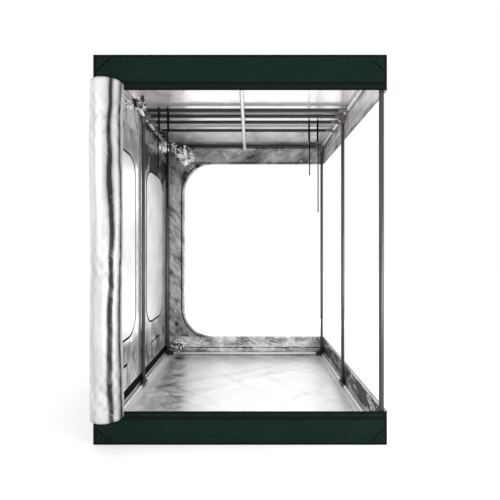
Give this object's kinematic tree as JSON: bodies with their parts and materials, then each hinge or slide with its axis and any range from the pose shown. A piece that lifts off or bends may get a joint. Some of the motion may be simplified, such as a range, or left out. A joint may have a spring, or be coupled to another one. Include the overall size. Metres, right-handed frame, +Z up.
{
  "type": "grow tent",
  "caption": "Square indoor grow tent with a pole frame, reflective wall and floor, open front, side and back, rolled front door, hanging bars and black hanging cords.",
  "frame": {"origin": "on the ground under the middle of the tent", "axes": "+Z up, the open front faces -Y, the closed wall is at -X"},
  "size_m": [1.508, 1.6533, 2],
  "materials": {
    "pole": "semi-gloss dark grey enamel on steel tube",
    "socket": "satin brown-grey enamel",
    "button": "bare spring steel",
    "band": "dark green woven cloth outside, reflective film inside",
    "wall": "crinkled reflective film on black cloth",
    "floor": "reflective film",
    "cord": "matt black cord",
    "slider": "black zip metal"
  },
  "bodies": {
    "tent": {"back_wall": "wall", "base_band": "band", "base_corner_front_left": "socket", "base_corner_front_right": "socket", "base_corner_rear_left": "socket", "base_corner_rear_right": "socket", "base_pole_front": "pole", "base_pole_rear": "pole", "base_rail_front_left": "pole", "base_rail_front_right": "pole", "base_rail_rear_left": "pole", "base_rail_rear_right": "pole", "base_tee_left": "socket", "base_tee_right": "socket", "centre_pole": "pole", "crossbar": "pole", "floor_sheet": "floor", "left_wall": "wall", "roof_cap": "band", "sleeve_drawcord": "cord", "top_corner_front_left": "socket", "top_corner_front_right": "socket", "top_corner_rear_left": "socket", "top_corner_rear_right": "socket", "top_pole_front": "pole", "top_pole_rear": "pole", "top_rail_front_left": "pole", "top_rail_front_right": "pole", "top_rail_rear_left": "pole", "top_rail_rear_right": "pole", "top_tee_left": "socket", "top_tee_right": "socket", "upright_lower_front_left": "pole", "upright_lower_front_right": "pole", "upright_lower_mid_left": "pole", "upright_lower_mid_right": "pole", "upright_lower_rear_left": "pole", "upright_lower_rear_right": "pole", "upright_upper_front_left": "pole", "upright_upper_front_right": "pole", "upright_upper_mid_left": "pole", "upright_upper_mid_right": "pole", "upright_upper_rear_left": "pole", "upright_upper_rear_right": "pole"},
    "button_front_left": {"snap_button_front_left": "button"},
    "button_mid_left": {"snap_button_mid_left": "button"},
    "button_rear_left": {"snap_button_rear_left": "button"},
    "button_front_right": {"snap_button_front_right": "button"},
    "button_mid_right": {"snap_button_mid_right": "button"},
    "button_rear_right": {"snap_button_rear_right": "button"},
    "bar_front": {"hanging_bar_front": "pole", "hanging_cord_left": "cord"},
    "bar_middle": {"hanging_bar_middle": "pole", "hanging_cord_right": "cord"},
    "bar_rear": {"hanging_bar_rear": "pole"},
    "door": {"door_roll": "wall"},
    "flap_front": {"vent_flap_front": "wall"},
    "flap_rear": {"vent_flap_rear": "wall"},
    "slider_top": {"zip_slider_top": "slider"},
    "slider_base": {"zip_slider_base": "slider"}
  },
  "joints": [
    {"name": "press_front_left", "type": "slide", "parent": "tent", "child": "button_front_left", "axis": [-1, 0, 0], "range_m": [0, 0.0042], "stiffness_N_per_m": 1500, "springref_m": -0.002},
    {"name": "press_mid_left", "type": "slide", "parent": "tent", "child": "button_mid_left", "axis": [-1, 0, 0], "range_m": [0, 0.0042], "stiffness_N_per_m": 1500, "springref_m": -0.002},
    {"name": "press_rear_left", "type": "slide", "parent": "tent", "child": "button_rear_left", "axis": [-1, 0, 0], "range_m": [0, 0.0042], "stiffness_N_per_m": 1500, "springref_m": -0.002},
    {"name": "press_front_right", "type": "slide", "parent": "tent", "child": "button_front_right", "axis": [1, 0, 0], "range_m": [0, 0.0042], "stiffness_N_per_m": 1500, "springref_m": -0.002},
    {"name": "press_mid_right", "type": "slide", "parent": "tent", "child": "button_mid_right", "axis": [1, 0, 0], "range_m": [0, 0.0042], "stiffness_N_per_m": 1500, "springref_m": -0.002},
    {"name": "press_rear_right", "type": "slide", "parent": "tent", "child": "button_rear_right", "axis": [1, 0, 0], "range_m": [0, 0.0042], "stiffness_N_per_m": 1500, "springref_m": -0.002},
    {"name": "slide_bar_front", "type": "slide", "parent": "tent", "child": "bar_front", "axis": [0, 1, 0], "range_m": [-0.53, 0.045]},
    {"name": "slide_bar_middle", "type": "slide", "parent": "tent", "child": "bar_middle", "axis": [0, 1, 0], "range_m": [-0.025, 0.07]},
    {"name": "slide_bar_rear", "type": "slide", "parent": "tent", "child": "bar_rear", "axis": [0, 1, 0], "range_m": [-0.075, 0.37]},
    {"name": "door_swing", "type": "hinge", "parent": "tent", "child": "door", "pos_m": [-0.746, -0.7563, 1], "axis": [0, 0, -1], "range_deg": [0, 160]},
    {"name": "vent_front_lift", "type": "hinge", "parent": "tent", "child": "flap_front", "pos_m": [-0.7447, -0.4, 0.263], "axis": [0, -1, 0], "range_deg": [0, 150]},
    {"name": "vent_rear_lift", "type": "hinge", "parent": "tent", "child": "flap_rear", "pos_m": [-0.7447, 0.37, 0.263], "axis": [0, -1, 0], "range_deg": [0, 150]},
    {"name": "unzip_top", "type": "slide", "parent": "tent", "child": "slider_top", "axis": [1, 0, 0], "range_m": [0, 1.38]},
    {"name": "unzip_base", "type": "slide", "parent": "tent", "child": "slider_base", "axis": [1, 0, 0], "range_m": [0, 1.38]}
  ]
}
